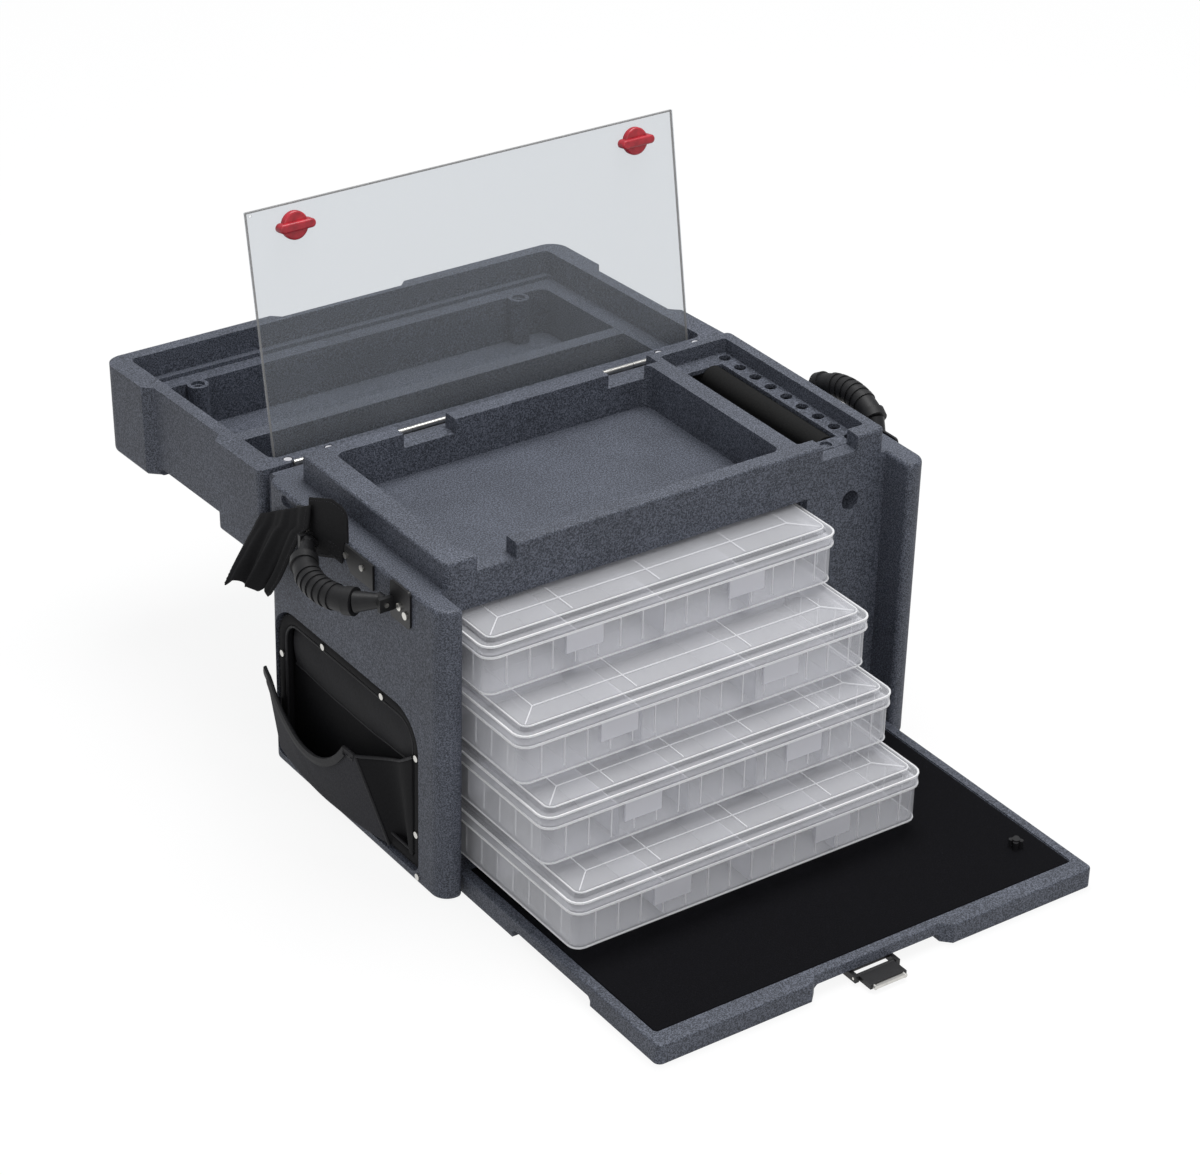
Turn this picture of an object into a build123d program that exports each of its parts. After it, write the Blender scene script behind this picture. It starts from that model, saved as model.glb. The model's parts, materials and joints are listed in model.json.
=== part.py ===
# Open tackle case with a hinged top lid, a drop-down front door and four slide-out utility boxes.
# X is to the right, Y to the back and Z up. The origin is the centre of the case's flat bottom.
from build123d import *
from math import atan2, cos, degrees, pi, radians, sin
import os

os.makedirs("parts", exist_ok=True)

# Utility boxes
box_width = 356.0
box_depth = 232.0
box_base_height = 38.0
box_lid_height = 13.0
box_corner = 12.0
box_wall = 2.0
box_gap = 5.5
box_count = 4
box_reach = (52.4, 103.8, 139.9, 183.6)
box_columns = (4, 3, 5, 4)

# Case walls around the bay
wall_left = 27.0
wall_right = 106.0
wall_back = 5.5
side_play = 3.5
front_setback = 3.0
back_play = 4.0
bay_floor = 24.0
runner_height = 4.0
tray_depth = 40.5
tray_floor_thickness = 6.0
rim_height = 23.5
recess_depth = 32.5
pillar_width = 21.5
corner_radius = 15.0

# Lid
lid_height = 87.0
pad_step = 9.0
pad_length = 75.25
lid_tilt = 2.6
panel_thickness = 3.0
panel_angle = 82.5
knob_radius = 12.5
knob_inset = 51.5

# Door
door_plate = 10.0
door_pad = 8.0
door_side_gap = 2.5
pin_radius = 1.5
running_gap = 0.05

# Sizes that follow from the ones above
box_height = box_base_height + box_lid_height
box_pitch = box_height + box_gap
case_width = wall_left + box_width + 2 * side_play + wall_right
case_depth = recess_depth + front_setback + box_depth + back_play + wall_back
half_w = case_width / 2
front_y = -case_depth / 2
rear_y = case_depth / 2
recess_y = front_y + recess_depth
inner_x = half_w - pillar_width
bay_left = -half_w + wall_left
bay_right = half_w - wall_right
bay_back = rear_y - wall_back
box_bottoms = [bay_floor + runner_height + i * box_pitch for i in range(box_count)]
bay_top = box_bottoms[-1] + box_height + 3.5
tray_floor = bay_top + tray_floor_thickness
rim_top = tray_floor + tray_depth
shoulder = rim_top - rim_height
rim_x = inner_x - 2.5
rim_rear = rear_y - 19.5
box_x = (bay_left + bay_right) / 2
box_home = recess_y + front_setback
knob_x = inner_x - knob_inset
hinge_y = rear_y + 7.75
hinge_z = shoulder + 0.2
door_axis_y = recess_y - 13.5
door_axis_z = 5.5
door_top = door_pad + door_plate
door_front = door_axis_y - (rim_top - 1.5 - door_axis_z)


def block(x0, x1, y0, y1, z0, z1):
    """A box from its six limits."""
    return Pos((x0 + x1) / 2, (y0 + y1) / 2, (z0 + z1) / 2) * Box(x1 - x0, y1 - y0, z1 - z0)


def slab(x0, x1, y0, y1, z0, z1, radius):
    """A box with rounded upright edges."""
    outline = RectangleRounded(x1 - x0, y1 - y0, radius)
    return Pos((x0 + x1) / 2, (y0 + y1) / 2, z0) * extrude(outline, z1 - z0)


def rod_x(x0, x1, y, z, radius):
    return Pos((x0 + x1) / 2, y, z) * Rot(0, 90, 0) * Cylinder(radius, x1 - x0)


def rod_y(x, y0, y1, z, radius):
    return Pos(x, (y0 + y1) / 2, z) * Rot(90, 0, 0) * Cylinder(radius, y1 - y0)


def rod_z(x, y, z0, z1, radius):
    return Pos(x, y, (z0 + z1) / 2) * Cylinder(radius, z1 - z0)


def plate_x(face, x0, x1):
    """A (y, z) face run along X."""
    return Pos(x0, 0, 0) * extrude(Plane.YZ * face, x1 - x0, dir=(1, 0, 0))


def prism(face, z0, z1):
    """An (x, y) face run along Z."""
    return Pos(0, 0, z0) * extrude(face, z1 - z0, dir=(0, 0, 1))


def soften(solid, level, radius):
    """Round the edges that lie wholly at one height."""
    rim = [e for e in solid.edges() if abs(e.bounding_box().min.Z - level) < 0.01
           and abs(e.bounding_box().max.Z - level) < 0.01]
    return fillet(rim, radius)


def save(name, shape):
    export_step(shape, "parts/" + name + ".step")


def group(shapes):
    return Compound(children=list(shapes))


# Case shell: footprint with the door recess between two rounded pillars
footprint = RectangleRounded(case_width, case_depth, corner_radius)
footprint -= Pos(0, front_y + recess_depth / 2) * Rectangle(2 * inner_x, recess_depth)
pillar_corners = [v for v in footprint.vertices() if abs(abs(v.X) - inner_x) < 0.1 and v.Y < front_y + 1]
footprint = fillet(pillar_corners, 5)
shell = extrude(footprint, shoulder)
shell = soften(shell, shoulder, 4)
shell = soften(shell, 0, 3)
shell += block(-inner_x, inner_x, recess_y, recess_y + 15, shoulder - 10, shoulder)

# Hinge ledge across the top of the back wall
ledge_y = rear_y + 6
ledge = Polygon((rear_y - 20, shoulder - 0.1), (ledge_y - 4, shoulder - 0.1), (ledge_y, shoulder - 4),
                (ledge_y, shoulder - 42), (rear_y - 1, shoulder - 85), (rear_y - 20, shoulder - 85), align=None)
shell += plate_x(ledge, -half_w + 8, half_w - 8)

# Raised rim around the tray and the bait rack
rim = slab(-rim_x, rim_x, recess_y, rim_rear, shoulder - 10, rim_top, 6)
rim = soften(rim, rim_top, 2.5)
shell += rim

# Tray, rack seat and the deep well under the rack
tray_left = -rim_x + 24
tray_right = bay_right - 20
tray_front = recess_y + 15
tray_rear = rim_rear - 16
shell -= slab(tray_left, tray_right, tray_front, tray_rear, tray_floor, rim_top + 1, 8)
deck_top = rim_top - 13.5
rack_left = tray_right + 18
rack_right = rim_x - 12
rack_rear = rim_rear - 10
shell -= slab(rack_left, rack_right, tray_front, rack_rear, deck_top - 4, rim_top + 1, 3)
well = (rack_left + 6, rack_right - 1, tray_front + 6, rack_rear - 6)
shell -= slab(*well, 40, deck_top, 5)

# Notches in the rim that clear the lid's knobs, and two in the back wall of the tray
for side in (-1, 1):
    x = side * knob_x
    shell -= block(x - 19, x + 19, recess_y - 1, tray_front + 1, deck_top - 0.5, rim_top + 1)
    x = side * (knob_x - 69)
    shell -= block(x - 26, x + 26, tray_rear - 1, rim_rear + 1, deck_top, rim_top + 1)

# Bay for the utility boxes, the door's peg hole and the pocket recess in the left side
shell -= block(bay_left, bay_right, recess_y - 1, bay_back, bay_floor, bay_top)
peg_y = door_front + 59.3
peg_x = inner_x - 37
peg_z = door_axis_z + door_axis_y - peg_y
shell -= rod_y(peg_x, recess_y - 1, recess_y + 18, peg_z, 9)
pocket_front_y = recess_y + 3
pocket_rear_y = rear_y - 8.5
pocket_top = 160.0
pocket_bottom = 8.0
pocket_floor_x = -half_w + 17
recess = [(pocket_front_y, pocket_bottom), (pocket_rear_y, pocket_bottom),
          (pocket_rear_y, pocket_top), (pocket_front_y, pocket_top)]


def pocket_outline(inset):
    """The pocket's outline in the side wall, drawn in by a margin."""
    flat = Pos((pocket_front_y + pocket_rear_y) / 2, (pocket_bottom + pocket_top) / 2) * Rectangle(
        pocket_rear_y - pocket_front_y - 2 * inset, pocket_top - pocket_bottom - 2 * inset)
    upper = [v for v in flat.vertices() if v.Y > pocket_top - inset - 1]
    flat = fillet(upper, 35 - inset)
    lower = [v for v in flat.vertices() if v.Y < pocket_bottom + inset + 1]
    return fillet(lower, max(12 - inset, 2))


shell -= plate_x(pocket_outline(0), -half_w - 1, pocket_floor_x)

# Slot in the left side near the back, for a carabiner or a line
shell -= plate_x(Pos(rear_y - 49.5, shoulder - 8.5) * SlotOverall(44, 9), -half_w - 1, -half_w + 3.5)
save("case_shell", shell)

# Runners that carry the boxes
for name, wall_x, side in (("runners_left", bay_left, 1), ("runners_right", bay_right, -1)):
    xs = sorted((wall_x, wall_x + side * 2))
    runner = block(xs[0], xs[1], recess_y + 6, bay_back - 3, bay_floor, bay_top - 2)
    for bottom in box_bottoms:
        xs = sorted((wall_x, wall_x + side * 16))
        runner += block(xs[0], xs[1], recess_y + 6, bay_back - 3, bottom - runner_height, bottom)
    save(name, runner)

# Bait rack: a drilled deck and a round-topped foam bar in its slot
slot = (rack_left + 6, rack_left + 55, tray_front + 15, rack_rear - 19)
deck = slab(rack_left + 0.2, rack_right - 0.2, tray_front + 0.2, rack_rear - 0.2, deck_top - 4, deck_top, 3)
deck -= slab(*slot, deck_top - 5, deck_top + 1, 1)
hole_pitch = (rack_rear - tray_front - 19) / 8
for i in range(9):
    deck -= rod_z(rack_right - 7.5, rack_rear - 11 - i * hole_pitch, deck_top - 5, deck_top + 1, 5.5)
deck -= rod_z(rack_left + 37.5, tray_front + 7.5, deck_top - 2.5, deck_top + 1, 5.5)
save("rack_deck", deck)
foam_radius = 11.0
foam_x1 = slot[1] - 0.3
foam_x0 = foam_x1 - 2 * foam_radius
foam_crown = deck_top + 1.5 - foam_radius
foam = rod_y((foam_x0 + foam_x1) / 2, slot[2] + 1.2, slot[3] - 1.2, foam_crown, foam_radius)
foam += block(foam_x0, foam_x1, well[2], well[3], deck_top - 24, foam_crown)
for low_y, high_y in ((well[2], slot[2] - 1), (slot[3] + 1, well[3])):
    foam += block(foam_x0, foam_x1, low_y, high_y, deck_top - 24, deck_top - 4)
save("rack_foam_bar", foam)

# Piano hinge of the lid: leaves, knuckles and pin
knuckle_count = 11
leaf_x = half_w - 33
knuckle_radius = 2.6
knuckle_pitch = 2 * leaf_x / knuckle_count
lid_place = Pos(0, hinge_y, hinge_z) * Rot(-lid_tilt, 0, 0)
case_leaf = block(-leaf_x, leaf_x, ledge_y, ledge_y + 1.2, shoulder - 22, hinge_z - 3)
lid_leaf = block(-leaf_x, leaf_x, 0.55, 1.75, -20, -3)
for i in range(knuckle_count):
    x0 = -leaf_x + i * knuckle_pitch + 0.2
    x1 = -leaf_x + (i + 1) * knuckle_pitch - 0.2
    barrel = rod_x(x0, x1, 0, 0, knuckle_radius)
    if i % 2 == 0:
        case_leaf += Pos(0, hinge_y, hinge_z) * barrel
        case_leaf += block(x0, x1, ledge_y, ledge_y + 1.2, hinge_z - 3.5, hinge_z)
    else:
        lid_leaf += barrel
        lid_leaf += block(x0, x1, 0.55, 1.75, -3.5, 0)
bore = rod_x(-leaf_x - 1, leaf_x + 1, 0, 0, 1.2 + running_gap)
save("lid_hinge_case_leaf", case_leaf - Pos(0, hinge_y, hinge_z) * bore)
save("lid_hinge_lid_leaf", lid_place * (lid_leaf - bore))
save("lid_hinge_pin", Pos(0, hinge_y, hinge_z) * rod_x(-leaf_x, leaf_x, 0, 0, 1.2))

# Door hinge: lugs on the case with one long pin
lug_width = 16.0
lug_xs = [side * (inner_x - inset) for side, inset in ((-1, 36.5), (-1, 116.5), (1, 116.5), (1, 36.5))]
lugs = []
for x in lug_xs:
    lug = block(x - lug_width / 2, x + lug_width / 2, door_axis_y, recess_y, 1, 10)
    lug += rod_x(x - lug_width / 2, x + lug_width / 2, door_axis_y, door_axis_z, 4.5)
    lug -= rod_x(x - lug_width, x + lug_width, door_axis_y, door_axis_z, pin_radius)
    lugs.append(lug)
save("door_hinge_lugs", group(lugs))
pins = [rod_x(x - 26, x + 26, door_axis_y, door_axis_z, pin_radius) for x in lug_xs]
save("door_hinge_pins", group(pins))

# Carrying handles: brackets, pins, arms and ribbed grips
handle_y = -6.0
handle_half = 56.0
pivot_x = half_w + 9
pivot_z = shoulder - 20
grip_out = 26.0
left_droop = 15.7
right_lift = 70.0


def flat_handle():
    """The handle lying level, its pivot line on the Y axis and its grip towards +X."""
    path = ThreePointArc((15, -40, 0), (grip_out, 0, 0), (15, 40, 0))
    start = Plane(path @ 0, z_dir=path % 0)
    grip = sweep(start * Circle(10.5), path)
    for i in range(6):
        t = 0.27 + i * 0.092
        grip += Plane(path @ t, z_dir=path % t) * Cylinder(11.6, 5)
    for t, side in ((0.0, 1), (1.0, -1)):
        grip += Plane(path @ t, z_dir=path % t) * Pos(0, 0, side * 4) * Cylinder(12, 8)
    arms = []
    for side in (-1, 1):
        leg = Line((15, side * 40, 0), (0, side * handle_half, 0))
        arm = Plane(leg @ 0.5, z_dir=leg % 0.5) * Cone(9.2, 5.8, leg.length)
        arm += rod_y(0, side * handle_half - 4, side * handle_half + 4, 0, 6)
        arm -= grip
        arm -= rod_y(0, side * handle_half - 6, side * handle_half + 12, 0, 2 + running_gap)
        arms.append(arm.solids().sort_by(SortBy.VOLUME)[-1])
    return grip, arms


def handle_mounts(side):
    """Two bracket plates with ears, and the pivot pins, on one side of the case."""
    plates, pegs, rivets = [], [], []
    for end in (-1, 1):
        ear_y = handle_y + end * (handle_half + 6.5)
        low, high = sorted((ear_y - end * 4, ear_y + end * 26))
        xs = sorted((side * half_w, side * (half_w + 2)))
        plate = plate_x(Pos((low + high) / 2, pivot_z + 3) * RectangleRounded(high - low, 34, 4), *xs)
        xs = sorted((side * (half_w + 1), side * (pivot_x + 6)))
        plate += block(xs[0], xs[1], ear_y - 2, ear_y + 2, pivot_z - 6, pivot_z + 6)
        plate -= rod_y(side * pivot_x, ear_y - 5, ear_y + 5, pivot_z, 2)
        plates.append(plate)
        pin_ends = sorted((ear_y - end * 12, ear_y + end * 3))
        pegs.append(rod_y(side * pivot_x, pin_ends[0], pin_ends[1], pivot_z, 2))
        for step, drop in ((11, 1), (20, -3)):
            xs = sorted((side * (half_w + 2), side * (half_w + 3.6)))
            rivets.append(rod_x(xs[0], xs[1], ear_y + end * step, pivot_z + drop, 3.4))
    return plates, pegs, rivets


fasteners = []
handle_pins = []
for word, side, lift in (("left", -1, -left_droop), ("right", 1, right_lift)):
    plates, pegs, rivets = handle_mounts(side)
    save("handle_brackets_" + word, group(plates))
    handle_pins += pegs
    fasteners += rivets
    grip, arms = flat_handle()
    turn = Rot(0, -lift, 0) if side > 0 else Rot(0, lift, 0) * Rot(0, 0, 180)
    place = Pos(side * pivot_x, handle_y, pivot_z) * turn
    save("handle_grip_" + word, place * grip)
    save("handle_arms_" + word, group([place * arm for arm in arms]))
save("handle_pins", group(handle_pins))

# Shoulder strap: anchor plates, a standing tab of webbing and the folded length behind it
for word, side in (("left", -1), ("right", 1)):
    xs = sorted((side * half_w, side * (half_w + 2)))
    anchor_face = Polygon((-38, shoulder - 2), (6, shoulder - 2), (6, shoulder - 13), (-4, shoulder - 25),
                          (-38, shoulder - 25), align=None)
    save("strap_anchor_" + word, plate_x(anchor_face, *xs))
    xs = sorted((side * (half_w + 2), side * (half_w + 3.4)))
    fasteners += [rod_x(xs[0], xs[1], y, shoulder - 11, 2.8) for y in (-22, 3)]
web_x = -half_w - 2.7
tab = plate_x(Pos(21, shoulder + 3) * RectangleRounded(25, 54, 9), web_x, -half_w - 0.4)
tab += block(web_x, -half_w, 10, 30, shoulder - 22, shoulder - 7)
web_end = handle_y + handle_half + 2
web_face = Polygon((22, shoulder - 24), (web_end, shoulder - 36), (web_end, shoulder + 14), (22, shoulder + 28),
                   align=None)
tab += plate_x(web_face, web_x, -half_w - 0.4)
save("strap_tab", tab)


def folded_section(low, high, out, waves, swing, thick):
    """A pleated strip section between two points of the strap's edge, thick across the pleats."""
    steps = 12
    front, back = [], []
    for i in range(steps + 1):
        t = i / steps
        wave = swing * sin(waves * pi * t)
        here = [low[k] + (high[k] - low[k]) * t for k in range(3)]
        front.append(tuple(here[k] + out[k] * wave for k in range(3)))
        back.append(tuple(here[k] + out[k] * (wave + thick) for k in range(3)))
    return make_face(Polyline(*front, *reversed(back), close=True))


fan_x = -half_w - 3
fan_front = handle_y + handle_half + 12
fan_rear = rear_y + 0.5
outward = (-1, 0, 0)
top_edge = folded_section((fan_x, fan_front, shoulder + 8), (fan_x, fan_rear, shoulder - 35), outward, 3, 0.8, 3)
mid_edge = folded_section((fan_x - 8, fan_front + 10, shoulder - 49), (fan_x - 14, fan_rear + 7, shoulder - 67),
                          outward, 3, 3, 3)
low_edge = folded_section((fan_x - 14, fan_front + 30, shoulder - 85), (fan_x - 30, fan_rear + 12, shoulder - 97),
                          outward, 3, 4, 3)
strap = loft([top_edge, mid_edge, low_edge], ruled=True)
strap += block(-half_w - 7.5, -half_w - 0.3, fan_rear - 26, fan_rear - 18, shoulder - 38, shoulder - 28)
save("shoulder_strap", strap)

# Side pocket: backing, padded frame, bulging front, gussets, piping and rivets
save("pocket_back", plate_x(pocket_outline(0.5), pocket_floor_x - 2.5, pocket_floor_x))
frame_x = -half_w + 3
frame_face = pocket_outline(0.5) - pocket_outline(14)
save("pocket_frame", plate_x(frame_face, frame_x, pocket_floor_x - 2.5))
bulge_top = pocket_bottom + 88
panel_wall = 3.0


def bowed_section(y0, y1, end_x, bow, z, thick):
    """A bowed strip seen from above, bulging away from the case."""
    mid = (y0 + y1) / 2
    outer = ThreePointArc((end_x - thick, y0, z), (end_x - thick - bow, mid, z), (end_x - thick, y1, z))
    inner = ThreePointArc((end_x, y1, z), (end_x - bow, mid, z), (end_x, y0, z))
    ends = [Line(outer @ 1, inner @ 0), Line(inner @ 1, outer @ 0)]
    return make_face([outer, ends[0], inner, ends[1]])


low_front = pocket_front_y + 48
high_front = pocket_front_y + 92
low_rear = pocket_rear_y - 4
low_bow = bowed_section(low_front, low_rear, frame_x, 9, pocket_bottom + 3, panel_wall)
high_bow = bowed_section(high_front, pocket_rear_y - 2, frame_x - 12, 12, bulge_top, panel_wall)
front_panel = loft([low_bow, high_bow], ruled=True)
scoop = rod_x(-half_w - 60, 0, pocket_rear_y - 80, bulge_top + 22, 64)
front_panel -= scoop
save("pocket_front", front_panel.solids().sort_by(SortBy.VOLUME)[-1])

# Pocket gussets: a slanted front flap, a narrow rear wall and the bottom
flap_edge = [(frame_x - 14.5, high_front - 9, bulge_top - 18), (frame_x - 2.5, low_front, pocket_bottom + 4)]
flap_seat = [(frame_x - 1.5, pocket_front_y + 11, pocket_bottom + 12),
             (frame_x - 1.5, pocket_front_y + 11, pocket_top - 42)]


def thin_quad(first, second, thick):
    """A thin upright quad along a line, thick towards the case."""
    back = [(x + thick, y, z) for x, y, z in (second, first)]
    return make_face(Polyline(first, second, *back, close=True))


flap = loft([thin_quad(flap_edge[0], flap_edge[1], 1.5), thin_quad(flap_seat[1], flap_seat[0], 1.5)], ruled=True)
rear_low = (frame_x - 3.5, low_rear - 2, pocket_bottom + 6)
rear_high = (frame_x - 13.5, low_rear - 1, bulge_top - 22)
rear_faces = []
for x, y, z in (rear_low, rear_high):
    points = [(frame_x, y, z), (x, y, z), (x, y + 1.5, z), (frame_x, y + 1.5, z)]
    rear_faces.append(make_face(Polyline(*points, close=True)))
rear_wall = loft(rear_faces, ruled=True)
mid_y = (low_front + low_rear) / 2
bottom_arc = ThreePointArc((frame_x, low_front, 0), (frame_x - 9, mid_y, 0), (frame_x, low_rear, 0))
bottom_face = make_face([bottom_arc, Line(bottom_arc @ 1, bottom_arc @ 0)])
pocket_base = prism(bottom_face, pocket_bottom + 3.2, pocket_bottom + 5.2)
gussets = [(wall - front_panel).solids().sort_by(SortBy.VOLUME)[-1] for wall in (flap, rear_wall, pocket_base)]
save("pocket_gussets", group(gussets))
pocket_top_rivet = pocket_top - 9
pocket_edge = pocket_front_y + 7
pocket_rivets = [(pocket_rear_y - 79, pocket_top_rivet), (pocket_front_y + 60, pocket_top_rivet),
                 (pocket_edge, pocket_top - 41), (pocket_edge, pocket_bottom + 36),
                 (pocket_rear_y - 10, pocket_top - 50), (pocket_rear_y - 10, pocket_bottom + 32)]
for y, z in pocket_rivets:
    fasteners.append(rod_x(frame_x - 1.4, frame_x, y, z, 3))
for side in (-1, 1):
    for y in (recess_y + 4, recess_y + 149):
        xs = sorted((side * half_w, side * (half_w + 1.2)))
        fasteners.append(rod_x(xs[0], xs[1], y, 6.5, 3))
save("case_fasteners", group(fasteners))


# Lid, in its own frame: x across, y out from the hinge line, z out of the mouth
def at_lid(shape):
    return lid_place * shape


lid_near = 1.75
lid_far = hinge_y - front_y + 0.75
lid_face = -0.2
lid_floor = lid_face - lid_height + pad_step + 5.8
middle_gap = 65.0
core_far = lid_far - 8
near_end = lid_near + pad_length
far_start = lid_far - 73.5
right_half = [(half_w, lid_near), (half_w, near_end), (half_w - pad_step, near_end + pad_step),
              (half_w - pad_step, far_start - pad_step), (half_w, far_start), (half_w, lid_far),
              (middle_gap + 8, lid_far), (middle_gap, core_far)]
left_half = [(-x, y) for x, y in reversed(right_half)]
outline = Polygon(*right_half, *left_half, align=None)
far_corners = [v for v in outline.vertices() if v.Y > lid_far - 0.1 and abs(v.X) > half_w - 1]
outline = fillet(far_corners, 18)
near_corners = [v for v in outline.vertices() if v.Y < lid_near + 0.1]
outline = fillet(near_corners, 6)
lid_base = lid_face - lid_height + 0.2
lid = prism(outline, lid_base, lid_face)
lid = soften(lid, lid_base, 5)
channel = lid_base + pad_step
for x0, x1, y0, y1 in ((-middle_gap, middle_gap, -10, lid_far + 10),
                       (-half_w - 10, half_w + 10, near_end + pad_step, far_start - pad_step)):
    floor_cut = block(x0, x1, y0, y1, lid_base - 1, channel)
    walls = chamfer(floor_cut.edges().filter_by(lambda e: abs(e.center().Z - channel) < 0.01), 4)
    lid -= walls
mouth_x = inner_x + 0.5
mouth_near = 17.5
mouth_far = hinge_y - recess_y + 12.25
panel_seat = -27.2
lid -= slab(-mouth_x, mouth_x, mouth_near, mouth_far, panel_seat, 1, 8)
lid -= slab(-mouth_x, mouth_x, mouth_far - 20, mouth_far + 7, panel_seat + 3.7, 1, 6)
well_x = mouth_x - 19
well_near = mouth_near + 6.5
well_far = mouth_far - 16
lid -= slab(-well_x, well_x, well_near, well_far, lid_floor, panel_seat + 1, 10)
lid -= block(-leaf_x - 1, leaf_x + 1, lid_near - 1, 3.3, -3.3, 1)
stud_xs = [side * (half_w - inset) for side in (-1, 1) for inset in (33, 74)]
for x in stud_xs:
    lid -= rod_z(x, 10, -3.4, 1, 4.5)
save("lid_studs", at_lid(group([rod_z(x, 10, -3.4, -0.5, 3.6) for x in stud_xs])))
wall_y = well_near + 0.405 * (well_far - well_near)
save("lid_divider", at_lid(block(-well_x, well_x, wall_y, wall_y + 16, lid_floor, panel_seat - 0.3)))

# Receivers for the quarter-turn knobs
pivot_s = mouth_near + 8
pivot_w = panel_seat + 1.6
panel_height = mouth_far - pivot_s - 2.5
knob_along = panel_height - 19.3
knob_s = pivot_s + knob_along
posts = []
for side in (-1, 1):
    post = rod_z(side * knob_x, knob_s, lid_floor, panel_seat, 10)
    post &= block(-well_x, well_x, well_near, well_far, lid_floor, 0)
    post -= rod_z(side * knob_x, knob_s, panel_seat - 3, 1, 6.5)
    post -= rod_z(side * knob_x, knob_s, panel_seat - 14, 1, 4)
    posts.append(post)
for side in (-1, 1):
    lid_cut = rod_z(side * knob_x, knob_s, panel_seat - 3, 1, 6.5)
    lid -= lid_cut
    lid -= rod_z(side * knob_x, knob_s, panel_seat - 14, 1, 4)
save("lid_shell", at_lid(lid))
save("knob_posts", at_lid(group(posts)))

# Clear panel on two short pins, standing nearly upright on the open lid
half_t = panel_thickness / 2
panel_half = mouth_x - 8
panel = block(-panel_half, panel_half, 0, panel_height, -half_t, half_t)
panel += rod_x(-panel_half, panel_half, 0, 0, half_t)
panel -= rod_z(-panel_half + 5, panel_height - 4, -5, 5, 1.5)
shaft_radius = 4.0
for side in (-1, 1):
    panel -= rod_z(side * knob_x, knob_along, -5, 5, shaft_radius + 0.08)
panel_pins = [rod_x(panel_half - 4, panel_half + 6, 0, 0, 1.0), rod_x(-panel_half - 6, -panel_half + 4, 0, 0, 1.0)]
for pin in panel_pins:
    panel -= pin
panel_place = lid_place * Pos(0, pivot_s, pivot_w) * Rot(panel_angle, 0, 0)
save("clear_panel", panel_place * panel)
save("clear_panel_pins", panel_place * group(panel_pins))
hinge_blocks = []
for side in (-1, 1):
    xs = sorted((side * (panel_half + 1), side * mouth_x))
    cheek = block(xs[0], xs[1], pivot_s - 4, pivot_s + 4, panel_seat, panel_seat + 3.3)
    cheek -= rod_x(xs[0] - 1, xs[1] + 1, pivot_s, pivot_w, 1.0 + running_gap)
    cheek &= slab(-mouth_x, mouth_x, mouth_near, mouth_far, panel_seat, 1, 8)
    hinge_blocks.append(cheek)
save("panel_hinge_blocks", at_lid(group(hinge_blocks)))

# Quarter-turn knobs
for word, side in (("left", -1), ("right", 1)):
    centre = Pos(side * knob_x, knob_along, 0)
    head = Pos(0, 0, half_t + 0.1) * extrude(Circle(knob_radius), 5)
    head = fillet(head.edges().group_by(Axis.Z)[-1], 2)
    wing = Pos(0, 0, half_t + 0.1) * extrude(SlotOverall(35, 8), 9)
    wing = fillet(wing.edges().group_by(Axis.Z)[-1], 2)
    shaft = rod_z(0, 0, -half_t - 0.1, half_t + 0.1, shaft_radius)
    shaft += rod_z(0, 0, -half_t - 1.7, -half_t - 0.1, 5.5)
    shaft += rod_z(0, 0, -half_t - 9, -half_t - 1.7, 2.8)
    save("knob_" + word, panel_place * centre * (head + wing + shaft))

# Latch keeper on the lid's far edge
keeper = block(-24, 24, core_far, core_far + 2, -36, -12)
keeper += block(-18, 18, core_far + 2, core_far + 5, -24, -20)
keeper += block(-18, 18, core_far + 4, core_far + 5, -30, -20)
save("lid_latch_keeper", at_lid(keeper))

# Door, open flat on the floor
door_x = inner_x - door_side_gap
door_rear = door_axis_y + 3.5
right_half = [(door_x, door_rear), (door_x, door_front), (middle_gap + 8, door_front), (middle_gap, door_front + 8)]
left_half = [(-x, y) for x, y in reversed(right_half)]
outline = Polygon(*right_half, *left_half, align=None)
outline = fillet([v for v in outline.vertices() if v.Y < door_front + 0.1 and abs(v.X) > door_x - 1], 6)
door = prism(outline, 0, door_top)
door = soften(door, door_top, 1.5)
pad_depth = 92.0
for x0, x1, y0, y1 in ((-middle_gap, middle_gap, door_front - 10, 0),
                       (-half_w, half_w, door_front + pad_depth, door_rear - pad_depth)):
    under = block(x0, x1, y0, y1, -1, door_pad)
    under = chamfer(under.edges().filter_by(lambda e: abs(e.center().Z - door_pad) < 0.01), 3)
    door -= under
felt_x = door_x - 9
felt_limits = (-felt_x, felt_x, door_front + 17, door_axis_y - 9.5)
door -= slab(*felt_limits, door_top - 1.2, door_top + 1, 4)
for x in lug_xs:
    door -= block(x - lug_width / 2 - 0.4, x + lug_width / 2 + 0.4, door_axis_y - 5.5, 0, -1, door_top + 1)
door -= rod_x(-half_w, half_w, door_axis_y, door_axis_z, pin_radius + running_gap)
save("door_shell", door)
felt = slab(felt_limits[0] + 0.2, felt_limits[1] - 0.2, felt_limits[2] + 0.2, felt_limits[3] - 0.2,
            door_top - 1.2, door_top, 4)
felt -= rod_z(peg_x, peg_y, 0, door_top + 5, 8)
save("door_felt", felt)
peg = rod_z(peg_x, peg_y, door_top - 1.2, door_top + 8, 3.5)
for i in range(4):
    turn = radians(45 + 90 * i)
    peg += rod_z(peg_x + 4 * cos(turn), peg_y + 4 * sin(turn), door_top - 1.2, door_top + 7, 2.3)
save("door_snap_peg", peg)

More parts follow.
